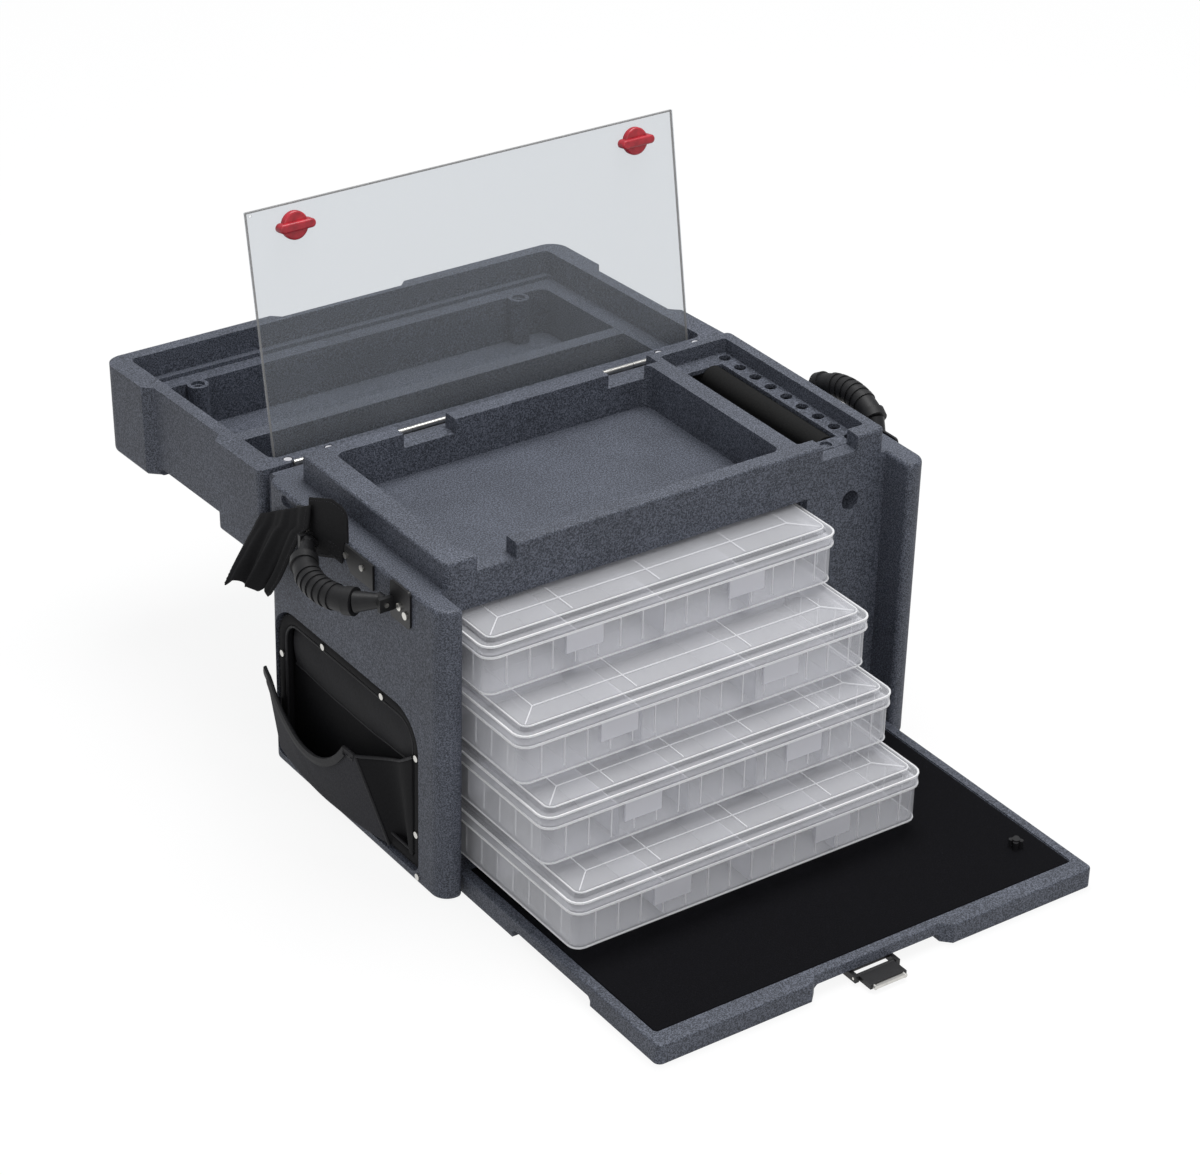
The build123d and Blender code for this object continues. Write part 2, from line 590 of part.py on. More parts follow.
# Draw latch under the door's front edge: base, pin, lever and wire bail
latch_x = -7.0
latch_y = door_front + 2.0
latch_z = 4.2
base = block(latch_x - 23, latch_x + 23, door_front + 8.5, door_front + 34, door_pad - 3, door_pad)
for side in (-1, 1):
    xs = sorted((latch_x + side * 19, latch_x + side * 23))
    ear = block(xs[0], xs[1], latch_y - 3, door_front + 20, latch_z - 3, latch_z + 3)
    base += ear
base -= rod_x(latch_x - 30, latch_x + 30, latch_y, latch_z, 1.2)
save("latch_base", base)
save("latch_pin", rod_x(latch_x - 23, latch_x + 23, latch_y, latch_z, 1.2))
lever = block(latch_x - 18.5, latch_x + 18.5, latch_y - 17, latch_y, latch_z - 2.2, latch_z + 2.2)
lever += rod_x(latch_x - 18.5, latch_x + 18.5, latch_y, latch_z, 2.6)
lever -= rod_x(latch_x - 30, latch_x + 30, latch_y, latch_z, 1.2 + running_gap)
save("latch_lever", lever)
bail = block(latch_x - 16, latch_x + 16, latch_y - 20, latch_y - 17, latch_z - 1.5, latch_z + 1.5)
for side in (-1, 1):
    bail += rod_y(latch_x + side * 15, latch_y - 20, latch_y - 17, latch_z, 2)
save("latch_bail", bail)

# Utility boxes: base, stepped lid, dividers and latch tabs
tab_span = box_width * 0.23
for number, bottom in enumerate(reversed(box_bottoms)):
    label = "box_" + str(number + 1)
    front = box_home - box_reach[number]
    middle = front + box_depth / 2
    half_x = box_width / 2
    half_y = box_depth / 2
    base = extrude(RectangleRounded(box_width - 4, box_depth - 4, box_corner - 2), box_base_height)
    base += Pos(0, 0, box_base_height - 3) * extrude(RectangleRounded(box_width, box_depth, box_corner), 3)
    inner = RectangleRounded(box_width - 8, box_depth - 8, box_corner - 4)
    base -= Pos(0, 0, box_wall) * extrude(inner, box_base_height)
    place = Pos(box_x, middle, bottom)
    save(label + "_base", place * base)
    cover = extrude(RectangleRounded(box_width, box_depth, box_corner), 8)
    crown = Pos(0, 0, 8) * extrude(RectangleRounded(box_width - 12, box_depth - 12, box_corner - 4), 5)
    crown = chamfer(crown.edges().group_by(Axis.Z)[-1], 3)
    cover += crown
    cover -= extrude(RectangleRounded(box_width - 16, box_depth - 16, box_corner - 6), box_lid_height - 2)
    save(label + "_lid", place * Pos(0, 0, box_base_height) * cover)
    fence_x = half_x - 4
    fence_y = half_y - 4
    tall = box_base_height - 5
    fences = block(-fence_x, fence_x, -0.8, 0.8, box_wall, tall)
    columns = box_columns[number]
    for i in range(1, columns):
        x = -fence_x + 2 * fence_x * i / columns
        fences += block(x - 0.8, x + 0.8, -fence_y, fence_y, box_wall, tall)
    save(label + "_dividers", place * fences)
    tabs = []
    for side in (-1, 1):
        tab_plate = block(side * tab_span - 18, side * tab_span + 18, -half_y, -half_y + 1.98,
                          box_base_height - 21, box_base_height - 3.4)
        tabs.append(tab_plate)
    save(label + "_latches", place * group(tabs))
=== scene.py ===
import json
import math

import bpy
from mathutils import Matrix, Vector


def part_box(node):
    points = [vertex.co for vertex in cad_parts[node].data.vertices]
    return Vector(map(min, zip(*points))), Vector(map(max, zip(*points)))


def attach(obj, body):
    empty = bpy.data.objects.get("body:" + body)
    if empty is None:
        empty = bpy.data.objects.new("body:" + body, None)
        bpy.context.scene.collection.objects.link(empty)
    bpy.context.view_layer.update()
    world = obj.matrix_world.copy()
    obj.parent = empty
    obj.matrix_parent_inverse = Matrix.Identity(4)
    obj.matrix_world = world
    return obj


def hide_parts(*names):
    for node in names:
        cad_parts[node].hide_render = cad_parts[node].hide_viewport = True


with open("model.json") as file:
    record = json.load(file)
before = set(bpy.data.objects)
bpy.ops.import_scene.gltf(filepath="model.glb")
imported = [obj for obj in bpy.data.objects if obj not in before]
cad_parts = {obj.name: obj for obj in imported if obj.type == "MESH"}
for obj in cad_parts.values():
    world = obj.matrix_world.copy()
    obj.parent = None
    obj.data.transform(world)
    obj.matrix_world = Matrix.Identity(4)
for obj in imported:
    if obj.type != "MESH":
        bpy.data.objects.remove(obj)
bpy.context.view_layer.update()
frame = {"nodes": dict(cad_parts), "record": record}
nodes = frame["nodes"]
scene = bpy.context.scene

# Values that set the camera, from the photograph's straight edges
camera_azimuth = math.radians(-35.92)
camera_elevation = math.radians(29.94)
camera_roll = math.radians(1.73)
camera_distance = 2.9704
camera_target = Vector((0.01996, 0.00005, 0.15003))
camera_lens = 102.28
camera_shift = (-0.0130, 0.0012)

# Values of the clear boxes' edges and ribs, in millimetres; these are real moulded ribs, drawn as whitish
# strips that carry painted highlights
box_columns = (4, 3, 5, 4)
rim_rib, crown_rib, lid_rib, wall_rib = 1.5, 1.1, 0.8, 0.8
hip_rib, hip_start, hip_end = 0.9, 4, 24
box_inset, box_corner, crown_inset, crown_corner = 2, 12, 8, 7
front_ribs, side_ribs, rib_foot, rib_head, rib_depth = 16, 10, 5, 34, 3.2
lid_rim_rise, base_rim_drop, foot_rise, crown_drop, column_inset = 7.6, 2.6, 0.7, 1.2, 4
ring_steps = 4

# Values of the side pocket, in millimetres
pocket_upper_radius, pocket_lower_radius, pocket_margin = 35, 12, 0.5
pocket_scoop_radius, pocket_scoop_rise, pocket_scoop_inset = 64, 22, 80
binding_radius, liner_thickness, panel_thickness = 1.3, 1.2, 1.8

# Values of the strap, in millimetres
webbing_thickness, tab_corner, tab_height = 1.7, 10, 54
tab_columns, tab_rows, fold_rows, fold_columns = 30, 12, 24, 48
webbing_stitch, webbing_gap, webbing_thread = 2.6, 1.4, 0.3

# Values of the door's felt, in millimetres
felt_thickness, felt_margin, felt_hole, felt_columns, felt_rows = 0.9, 0.6, 6.3, 110, 68
pressed_width, pressed_depth = 4, 0.35

# Values of the light
floor_shade, floor_glow, floor_dull = 0.11, 0.885, 0.45
sky_colour, sky_strength = (0.97, 0.98, 1.0), 0.55


# Shader helpers
def fresh(name):
    """An empty node material with its output."""
    material = bpy.data.materials.new(name)
    material.use_nodes = True
    tree = material.node_tree
    tree.nodes.clear()
    output = tree.nodes.new("ShaderNodeOutputMaterial")
    return material, tree, output


def principled(tree, colour, rough, metal=0.0, specular=0.5):
    """A surface shader with its colour, roughness and shine."""
    shader = tree.nodes.new("ShaderNodeBsdfPrincipled")
    shader.inputs["Base Color"].default_value = (*colour, 1)
    shader.inputs["Roughness"].default_value = rough
    shader.inputs["Metallic"].default_value = metal
    shader.inputs["Specular IOR Level"].default_value = specular
    return shader


def noise(tree, scale, detail=3.0, rough=0.6, stretch=(1, 1, 1)):
    """An uneven value that keeps its place on the object."""
    place = tree.nodes.new("ShaderNodeTexCoord")
    mapping = tree.nodes.new("ShaderNodeMapping")
    mapping.inputs["Scale"].default_value = stretch
    tree.links.new(place.outputs["Object"], mapping.inputs["Vector"])
    texture = tree.nodes.new("ShaderNodeTexNoise")
    texture.inputs["Scale"].default_value = scale
    texture.inputs["Detail"].default_value = detail
    texture.inputs["Roughness"].default_value = rough
    tree.links.new(mapping.outputs["Vector"], texture.inputs["Vector"])
    return texture.outputs["Fac"]


def ramp(tree, value, low, high, dark, light):
    """Map a value between two colours."""
    node = tree.nodes.new("ShaderNodeValToRGB")
    node.color_ramp.elements[0].position = low
    node.color_ramp.elements[1].position = high
    node.color_ramp.elements[0].color = (*dark, 1)
    node.color_ramp.elements[1].color = (*light, 1)
    tree.links.new(value, node.inputs["Fac"])
    return node.outputs["Color"]


def bump(tree, shader, height, strength, distance):
    """Small relief on a shader, from a value."""
    node = tree.nodes.new("ShaderNodeBump")
    node.inputs["Strength"].default_value = strength
    node.inputs["Distance"].default_value = distance
    tree.links.new(height, node.inputs["Height"])
    tree.links.new(node.outputs["Normal"], shader.inputs["Normal"])


def speckled(name, dark, light, rough, grain=760.0, depth=0.0004):
    """Moulded plastic with a fine light fleck and a pebbled skin."""
    material, tree, output = fresh(name)
    middle = [(a + b) / 2 for a, b in zip(dark, light)]
    shader = principled(tree, middle, rough, specular=0.35)
    fleck = noise(tree, grain, detail=3.0, rough=0.85)
    colour = ramp(tree, fleck, low=0.44, high=0.60, dark=dark, light=light)
    broad = noise(tree, scale=14.0, detail=3.0)
    cloud = ramp(tree, broad, low=0.35, high=0.7, dark=(0.86, 0.86, 0.86), light=(1.08, 1.08, 1.08))
    mix = tree.nodes.new("ShaderNodeMix")
    mix.data_type = "RGBA"
    mix.blend_type = "MULTIPLY"
    mix.inputs["Factor"].default_value = 1.0
    tree.links.new(colour, mix.inputs["A"])
    tree.links.new(cloud, mix.inputs["B"])
    tree.links.new(mix.outputs["Result"], shader.inputs["Base Color"])
    bump(tree, shader, noise(tree, grain * 0.6, detail=2.0), strength=0.35, distance=depth)
    tree.links.new(shader.outputs["BSDF"], output.inputs["Surface"])
    return material


def grained(name, colour, rough, grain, depth, stretch=(1, 1, 1), vary=0.25, metal=0.0, specular=0.5):
    """A plain colour with a little variation and a fine bump."""
    material, tree, output = fresh(name)
    shader = principled(tree, colour, rough, metal, specular)
    value = noise(tree, grain, stretch=stretch)
    dark = [c * (1 - vary) for c in colour]
    light = [c * (1 + vary) for c in colour]
    shade = ramp(tree, value, low=0.3, high=0.7, dark=dark, light=light)
    tree.links.new(shade, shader.inputs["Base Color"])
    bump(tree, shader, value, strength=0.4, distance=depth)
    tree.links.new(shader.outputs["BSDF"], output.inputs["Surface"])
    return material


def clear_plastic(name, tint, through, body, rough, haze=0.35, edge=0.5):
    """Clear plastic: light passes with a tint, a haze of the plastic shows, and edges turn milky."""
    material, tree, output = fresh(name)
    shader = principled(tree, body, rough, specular=0.5)
    clear = tree.nodes.new("ShaderNodeBsdfTransparent")
    clear.inputs["Color"].default_value = (*through, 1)
    facing = tree.nodes.new("ShaderNodeLayerWeight")
    facing.inputs["Blend"].default_value = tint
    amount = tree.nodes.new("ShaderNodeMapRange")
    amount.inputs["To Min"].default_value = haze
    amount.inputs["To Max"].default_value = edge
    tree.links.new(facing.outputs["Facing"], amount.inputs["Value"])
    mix = tree.nodes.new("ShaderNodeMixShader")
    tree.links.new(amount.outputs["Result"], mix.inputs["Fac"])
    tree.links.new(clear.outputs["BSDF"], mix.inputs[1])
    tree.links.new(shader.outputs["BSDF"], mix.inputs[2])
    tree.links.new(mix.outputs["Shader"], output.inputs["Surface"])
    return material


looks = {
    "case_plastic": speckled("case_plastic", dark=(0.027, 0.031, 0.041), light=(0.152, 0.166, 0.208),
                             rough=0.6),
    "box_clear": clear_plastic("box_clear", tint=0.35, through=(0.965, 0.965, 0.972),
                               body=(0.87, 0.875, 0.905), rough=0.16, haze=0.09, edge=0.62),
    "tab_white": clear_plastic("tab_white", tint=0.35, through=(0.9, 0.9, 0.92),
                               body=(0.84, 0.84, 0.88), rough=0.25, haze=0.5, edge=0.85),
    "panel_clear": clear_plastic("panel_clear", tint=0.3, through=(0.855, 0.87, 0.885),
                                 body=(0.66, 0.68, 0.71), rough=0.08, haze=0.055, edge=0.4),
    "knob_red": grained("knob_red", (0.42, 0.022, 0.035), rough=0.35, grain=120.0, depth=0.0001),
    "black_plastic": grained("black_plastic", (0.009, 0.009, 0.010), rough=0.42, grain=400.0, depth=0.0001,
                             specular=0.35),
    "black_rubber": grained("black_rubber", (0.010, 0.010, 0.011), rough=0.55, grain=500.0, depth=0.0002,
                            specular=0.35),
    "webbing": grained("webbing", (0.008, 0.008, 0.009), rough=0.85, grain=260.0, depth=0.0006,
                       stretch=(1, 1, 6), specular=0.2),
    "pocket_cloth": grained("pocket_cloth", (0.046, 0.046, 0.051), rough=0.85, grain=700.0, depth=0.0004,
                            specular=0.2),
    "pocket_liner": grained("pocket_liner", (0.0055, 0.0055, 0.0065), rough=0.8, grain=500.0, depth=0.0004,
                            specular=0.2),
    "felt": grained("felt", (0.0042, 0.0042, 0.0055), rough=0.95, grain=900.0, depth=0.0008,
                    vary=0.5, specular=0.1),
    "foam": grained("foam", (0.010, 0.010, 0.010), rough=0.9, grain=800.0, depth=0.0006, specular=0.2),
    "steel": grained("steel", (0.62, 0.61, 0.58), rough=0.28, grain=200.0, depth=0.00005,
                     stretch=(1, 8, 1), vary=0.1, metal=1.0),
}
binding_look = grained("binding", (0.014, 0.014, 0.016), rough=0.6, grain=320.0, depth=0.0003, specular=0.3)
band_look = grained("liner_band", (0.012, 0.012, 0.014), rough=0.75, grain=420.0, depth=0.0005, specular=0.3)
thread_look = grained("thread", (0.030, 0.030, 0.034), rough=0.7, grain=300.0, depth=0.0001, specular=0.2)
# Near-opaque white for the box ribs and rims: real moulded edges, whitened as painted highlights
rib_highlight_look = clear_plastic("box_rib_highlight", tint=0.3, through=(0.97, 0.97, 0.98), body=(0.97, 0.97, 0.98),
                         rough=0.2, haze=0.68, edge=0.9)
divider_look = clear_plastic("box_divider", tint=0.3, through=(0.95, 0.95, 0.97), body=(0.86, 0.865, 0.90),
                             rough=0.2, haze=0.36, edge=0.75)
edge_look = clear_plastic("panel_edge", tint=0.3, through=(0.80, 0.79, 0.78), body=(0.40, 0.38, 0.36),
                          rough=0.2, haze=0.5, edge=0.75)
slots = {entry["node"]: entry["material_slot"] for entry in frame["record"]["subparts"]}
for name, thing in nodes.items():
    look = divider_look if name.endswith("dividers") else looks[slots[name]]
    if not thing.material_slots:
        thing.data.materials.append(look)
    for holder in thing.material_slots:
        holder.material = look


# Moulded edges and ribs of the clear boxes, drawn as near-opaque whitish strips: real ribs, whose bright
# edges are painted highlights
def beam(points, width, closed=False):
    """Corners and faces of a thin square bar along a line, in millimetres."""
    corners, faces = [], []
    pairs = list(zip(points, points[1:]))
    if closed:
        pairs.append((points[-1], points[0]))
    for first, second in pairs:
        first, second = Vector(first), Vector(second)
        along = (second - first).normalized()
        side = along.cross(Vector((0, 0, 1)))
        if side.length < 0.1:
            side = Vector((1, 0, 0))
        side.normalize()
        above = side.cross(along)
        start = len(corners)
        for end in (first, second):
            for i, j in ((-1, -1), (1, -1), (1, 1), (-1, 1)):
                corners.append(end + side * (i * width / 2) + above * (j * width / 2))
        faces += [[start + k for k in quad] for quad in
                  ((0, 3, 2, 1), (4, 5, 6, 7), (0, 1, 5, 4), (1, 2, 6, 5), (2, 3, 7, 6), (3, 0, 4, 7))]
    return corners, faces


def ring(centre, half_x, half_y, z, radius):
    """Points around a level rounded rectangle."""
    points = []
    for sx, sy, first in ((1, -1, -90), (1, 1, 0), (-1, 1, 90), (-1, -1, 180)):
        for step in range(ring_steps + 1):
            turn = math.radians(first + step * 90 / ring_steps)
            points.append((centre[0] + sx * (half_x - radius) + radius * math.cos(turn),
                           centre[1] + sy * (half_y - radius) + radius * math.sin(turn), z))
    return points


def limits(name):
    """Low and high corners of a node, in millimetres."""
    low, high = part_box(name)
    return [v * 1000 for v in low], [v * 1000 for v in high]


def mesh_from(name, parts, look, body):
    """One object from several corner and face lists, riding on a body."""
    corners, faces = [], []
    for points, quads in parts:
        start = len(corners)
        corners += [tuple(v / 1000 for v in point) for point in points]
        faces += [[start + k for k in quad] for quad in quads]
    data = bpy.data.meshes.new(name)
    data.from_pydata(corners, [], faces)
    data.materials.append(look)
    thing = bpy.data.objects.new(name, data)
    scene.collection.objects.link(thing)
    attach(thing, body)
    return thing


for number, columns in enumerate(box_columns, 1):
    label = "box_" + str(number)
    low, high = limits(label + "_base")
    lid_low, lid_high = limits(label + "_lid")
    centre = ((low[0] + high[0]) / 2, (low[1] + high[1]) / 2)
    half_x = (high[0] - low[0]) / 2
    half_y = (high[1] - low[1]) / 2
    crown_x, crown_y, top = half_x - crown_inset, half_y - crown_inset, lid_high[2]
    foot_corner = box_corner - box_inset
    foot_x, foot_y = half_x - box_inset, half_y - box_inset
    rings = ((half_x, half_y, lid_low[2] + lid_rim_rise, box_corner, rim_rib),
             (half_x, half_y, lid_low[2] - base_rim_drop, box_corner, rim_rib),
             (foot_x, foot_y, low[2] + foot_rise, foot_corner, crown_rib),
             (crown_x, crown_y, top - crown_drop, crown_corner, crown_rib))
    bars = [beam(ring(centre, x, y, z, corner), width, closed=True) for x, y, z, corner, width in rings]
    for sx in (-1, 1):
        for sy in (-1, 1):
            outer = (centre[0] + sx * (crown_x - hip_start), centre[1] + sy * (crown_y - hip_start), top - 1)
            inner = (centre[0] + sx * (crown_x - hip_end), centre[1] + sy * (crown_y - hip_end), top - 1)
            bars.append(beam([outer, inner], hip_rib))
    bars.append(beam([(centre[0] + sx * (crown_x - hip_end), centre[1] + sy * (crown_y - hip_end), top - 1)
                      for sx, sy in ((-1, -1), (1, -1), (1, 1), (-1, 1))], lid_rib, closed=True))
    for i in range(1, columns):
        x = low[0] + column_inset + (high[0] - low[0] - 2 * column_inset) * i / columns
        bars.append(beam([(x, low[1] + box_corner, top - 1), (x, high[1] - box_corner, top - 1)], lid_rib))
    for i in range(1, front_ribs):
        x = low[0] + (high[0] - low[0]) * i / front_ribs
        for y in (low[1] + rib_depth, high[1] - rib_depth):
            bars.append(beam([(x, y, low[2] + rib_foot), (x, y, low[2] + rib_head)], wall_rib))
    for i in range(1, side_ribs):
        y = low[1] + (high[1] - low[1]) * i / side_ribs
        for x in (low[0] + rib_depth, high[0] - rib_depth):
            bars.append(beam([(x, y, low[2] + rib_foot), (x, y, low[2] + rib_head)], wall_rib))
    rib_highlight_strips = mesh_from(label + "_ribs_highlight", bars, rib_highlight_look, label)


# Sawn edge of the clear panel, which shows darker than its face
sheet_corners = [nodes["clear_panel"].matrix_world @ v.co * 1000 for v in nodes["clear_panel"].data.vertices]
sheet_x0, sheet_x1 = min(c.x for c in sheet_corners), max(c.x for c in sheet_corners)
sheet_top = max(c.z for c in sheet_corners)
sheet_foot = min(c.z for c in sheet_corners)


def sheet_middle(level):
    """Mean depth of the panel's corners near a height."""
    near = [c.y for c in sheet_corners if abs(c.z - level) < 2]
    return sum(near) / len(near)


edge_inset, edge_width = 0.8, 1.4
top_y, foot_y = sheet_middle(sheet_top), sheet_middle(sheet_foot)
edge_points = [(sheet_x0 + edge_inset, foot_y, sheet_foot + 1), (sheet_x0 + edge_inset, top_y, sheet_top - 1),
               (sheet_x1 - edge_inset, top_y, sheet_top - 1), (sheet_x1 - edge_inset, foot_y, sheet_foot + 1)]
sheet_edge = mesh_from("panel_edge", [beam(edge_points, edge_width)], edge_look, "panel")


# Cloth helpers, in millimetres
def thread(points, radius, sides=6, closed=False):
    """Corners and faces of a round cord along points."""
    corners, faces = [], []
    count = len(points)
    previous = Vector((0, 0, 1))
    for i, point in enumerate(points):
        here = Vector(point)
        ahead = Vector(points[(i + 1) % count] if closed or i + 1 < count else point)
        behind = Vector(points[i - 1] if closed or i > 0 else point)
        along = (ahead - behind).normalized()
        side = along.cross(previous)
        if side.length < 0.05:
            side = along.cross(Vector((1, 0, 0.3)))
        side.normalize()
        above = side.cross(along)
        previous = above
        for k in range(sides):
            turn = 2 * math.pi * k / sides
            corners.append(here + side * (radius * math.cos(turn)) + above * (radius * math.sin(turn)))
    runs = count if closed else count - 1
    for i in range(runs):
        a, b = i * sides, ((i + 1) % count) * sides
        for k in range(sides):
            faces.append([a + k, a + (k + 1) % sides, b + (k + 1) % sides, b + k])
    if not closed:
        faces.append(list(range(sides))[::-1])
        faces.append([(count - 1) * sides + k for k in range(sides)])
    return corners, faces


def stitches(points, stitch=3.2, gap=1.9, radius=0.35):
    """Short threads along a line, one per stitch."""
    parts = []
    travelled = 0.0
    dense = []
    for first, second in zip(points, points[1:]):
        first, second = Vector(first), Vector(second)
        steps = max(1, int((second - first).length / 0.8))
        dense += [first.lerp(second, k / steps) for k in range(steps)]
    dense.append(Vector(points[-1]))
    run = []
    for first, second in zip(dense, dense[1:]):
        travelled += (second - first).length
        phase = travelled % (stitch + gap)
        if phase < stitch:
            run.append(first)
        elif run:
            if len(run) > 1:
                parts.append(thread(run, radius, sides=5))
            run = []
    return parts


def tape(points, inner, outer, thick):
    """Corners and faces of a binding folded over the edge of a sheet that faces -X."""
    corners, faces = [], []
    across = ((-thick / 2, -inner), (-thick / 2 - 0.3, -inner / 2), (-thick / 2, outer - 0.6), (0, outer),
              (thick / 2, outer - 0.6), (thick / 2 + 0.3, -inner / 2), (thick / 2, -inner))
    sides = len(across)
    for i, point in enumerate(points):
        behind, ahead = Vector(points[max(i - 1, 0)]), Vector(points[min(i + 1, len(points) - 1)])
        along = (ahead - behind).normalized()
        over = Vector((1, 0, 0)).cross(along).normalized()
        for shift, rise in across:
            corners.append(Vector(point) + Vector((shift, 0, 0)) + over * rise)
    for i in range(len(points) - 1):
        a, b = i * sides, (i + 1) * sides
        for k in range(sides):
            faces.append([a + k, a + (k + 1) % sides, b + (k + 1) % sides, b + k])
    faces.append(list(range(sides))[::-1])
    faces.append([(len(points) - 1) * sides + k for k in range(sides)])
    return corners, faces


def measure(rows):
    """Width, length and area of a grid of points, in metres."""
    def run(line):
        return sum((Vector(b) - Vector(a)).length for a, b in zip(line, line[1:]))
    width = max(run(row) for row in rows)
    length = max(run([row[i] for row in rows]) for i in range(len(rows[0])))
    area = 0.0
    for lower, upper in zip(rows, rows[1:]):
        for i in range(len(lower) - 1):
            a, b, c, d = (Vector(p) for p in (lower[i], lower[i + 1], upper[i + 1], upper[i]))
            area += ((b - a).cross(c - a).length + (c - a).cross(d - a).length) / 2
    return width / 1000, length / 1000, area / 1e6


def cloth(name, rows, look, body, thick):
    """A thin sheet from rows of points, thickened and smoothed; its flat size is measured."""
    corners = [tuple(v / 1000 for v in point) for row in rows for point in row]
    across = len(rows[0])
    faces = []
    for j in range(len(rows) - 1):
        for i in range(across - 1):
            a = j * across + i
            faces.append((a, a + 1, a + across + 1, a + across))
    data = bpy.data.meshes.new(name)
    data.from_pydata(corners, [], faces)
    data.materials.append(look)
    thing = bpy.data.objects.new(name, data)
    scene.collection.objects.link(thing)
    for face in data.polygons:
        face.use_smooth = True
    solid = thing.modifiers.new("thick", "SOLIDIFY")
    solid.thickness = thick / 1000
    solid.offset = 0
    smooth = thing.modifiers.new("smooth", "SUBSURF")
    smooth.levels = 1
    smooth.render_levels = 1
    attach(thing, body)
    width, length, area = measure(rows)
    return thing


def wobble(a, b, seed, size):
    """A smooth uneven ripple for cloth."""
    broad = math.sin(a * 2.1 + seed) * math.cos(b * 1.7 - seed)
    fine = 0.5 * math.sin(a * 4.3 - b * 3.1 + 2 * seed)
    return size * (broad + fine) / 1.5


def blend(a, b, t):
    """A point a share of the way from one point to another."""
    return [p + (q - p) * t for p, q in zip(a, b)]


def grid(down, across, point):
    """Rows of points from a function of two shares, along and up, that run from 0 to 1."""
    return [[point(i / across, j / down) for i in range(across + 1)] for j in range(down + 1)]


# Side pocket: its limits come from the solids that it stands for
frame_low, frame_high = limits("pocket_frame")
back_low = limits("pocket_back")[0]
front_low, front_high = limits("pocket_front")
pocket_y0, pocket_y1 = frame_low[1] - pocket_margin, frame_high[1] + pocket_margin
pocket_z0, pocket_z1 = frame_low[2] - pocket_margin, frame_high[2] + pocket_margin
frame_face = frame_low[0]


def pocket_line(inset, x, steps=7):
    """Points round the pocket's outline, drawn in by a margin."""
    points = []
    upper, lower = pocket_upper_radius - inset, max(pocket_lower_radius - inset, 2)
    corners = ((pocket_y0 + inset, pocket_z0 + inset, 1, 1, lower, 180),
               (pocket_y1 - inset, pocket_z0 + inset, -1, 1, lower, 270),
               (pocket_y1 - inset, pocket_z1 - inset, -1, -1, upper, 0),
               (pocket_y0 + inset, pocket_z1 - inset, 1, -1, upper, 90))
    for y, z, sy, sz, radius, first in corners:
        for step in range(steps):
            turn = math.radians(first + 90 * step / (steps - 1))
            points.append((x, y + sy * radius + radius * math.cos(turn),
                           z + sz * radius + radius * math.sin(turn)))
    return points


# Cross-section of the padded frame: distance in from the outline, and depth
profile = [(13.4, back_low[0] - 0.3), (13.6, frame_face + 3.2), (12.6, frame_face + 1.0),
           (10.4, frame_face + 0.1), (7.2, frame_face - 0.3), (4.0, frame_face + 0.1),
           (1.9, frame_face + 1.0), (0.8, frame_face + 3.2), (0.8, back_low[0] - 0.3)]
loops = [pocket_line(inset, x) for inset, x in profile]
ring_points, ring_faces = [], []
around = len(loops[0])
for loop in loops:
    ring_points += loop
for j in range(len(loops)):
    nxt = (j + 1) % len(loops)
    for i in range(around):
        k = (i + 1) % around
        ring_faces.append([j * around + i, nxt * around + i, nxt * around + k, j * around + k])
padding = mesh_from("pocket_padding", [(ring_points, ring_faces)], looks["pocket_liner"], "case")
for face in padding.data.polygons:
    face.use_smooth = True
smooth = padding.modifiers.new("smooth", "SUBSURF")
smooth.levels = 1
smooth.render_levels = 1
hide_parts("pocket_frame")
inner_edge = thread(pocket_line(14.0, frame_face + 1.6), binding_radius, sides=8, closed=True)
binding = mesh_from("pocket_binding", [inner_edge], binding_look, "case")
seam = pocket_line(3.2, frame_face - 0.1) + pocket_line(3.2, frame_face - 0.1)[:1]
stitch_parts = stitches(seam)

# Backing cloth with a loose liner band over it
backing_margin, band_inset, band_puff, band_sag = 1.5, 16, 4.6, 3.5
band_low, band_high = pocket_z0 + 92, pocket_z1 - 17


def backing_point(u, v):
    """A point of the backing, which narrows at the pocket's rounded upper corners."""
    z = pocket_z0 + backing_margin + (pocket_z1 - pocket_z0 - 2 * backing_margin) * v
    cut = backing_margin
    over = z - pocket_z1 + pocket_upper_radius
    if over > 0:
        reach = pocket_upper_radius - backing_margin
        cut = pocket_upper_radius - math.sqrt(max(0, reach ** 2 - over ** 2))
    y = pocket_y0 + cut + (pocket_y1 - pocket_y0 - 2 * cut) * u
    return (back_low[0] + 0.8 + wobble(u * 5, v * 4, seed=1.3, size=0.35), y, z)


def band_point(u, v):
    """A point of the liner band, which puffs out and sags at its foot."""
    y = pocket_y0 + band_inset + (pocket_y1 - pocket_y0 - 2 * band_inset) * u
    puff = band_puff * math.sin(math.pi * v) * (0.75 + 0.25 * math.sin(math.pi * u))
    z = band_low + (band_high - band_low) * v - band_sag * math.sin(math.pi * u) * (1 - v)
    return (back_low[0] - 1.1 - puff - wobble(u * 9, v * 3, seed=0.4, size=0.35), y, z)


rows = grid(down=14, across=24, point=backing_point)
backing = cloth("pocket_backing", rows, looks["pocket_liner"], "case", liner_thickness)
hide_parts("pocket_back")
rows = grid(down=8, across=28, point=band_point)
band = cloth("pocket_band", rows, band_look, "case", liner_thickness)
band_cord = thread([(x - 0.5, y, z) for x, y, z in rows[0]], radius=1.2, sides=8)
band_edge = mesh_from("pocket_band_edge", [band_cord], binding_look, "case")

# Front panel with its scooped top edge
panel_columns, panel_rows = 44, 12
panel_z0, panel_z1 = front_low[2], front_high[2]
scoop_y, scoop_z = pocket_y1 - pocket_scoop_inset, panel_z1 + pocket_scoop_rise

# Front and rear ends of the panel at its foot and at its top, and how it bows and slants
low_y0, low_y1 = pocket_y0 + 48, pocket_y1 - 4
high_y0, high_y1 = pocket_y0 + 92, pocket_y1 - 2
panel_stand_off, panel_slant, panel_bow, panel_bow_rise = 1.7, 12, 9, 3
corner_drop, corner_slope = 13, 60


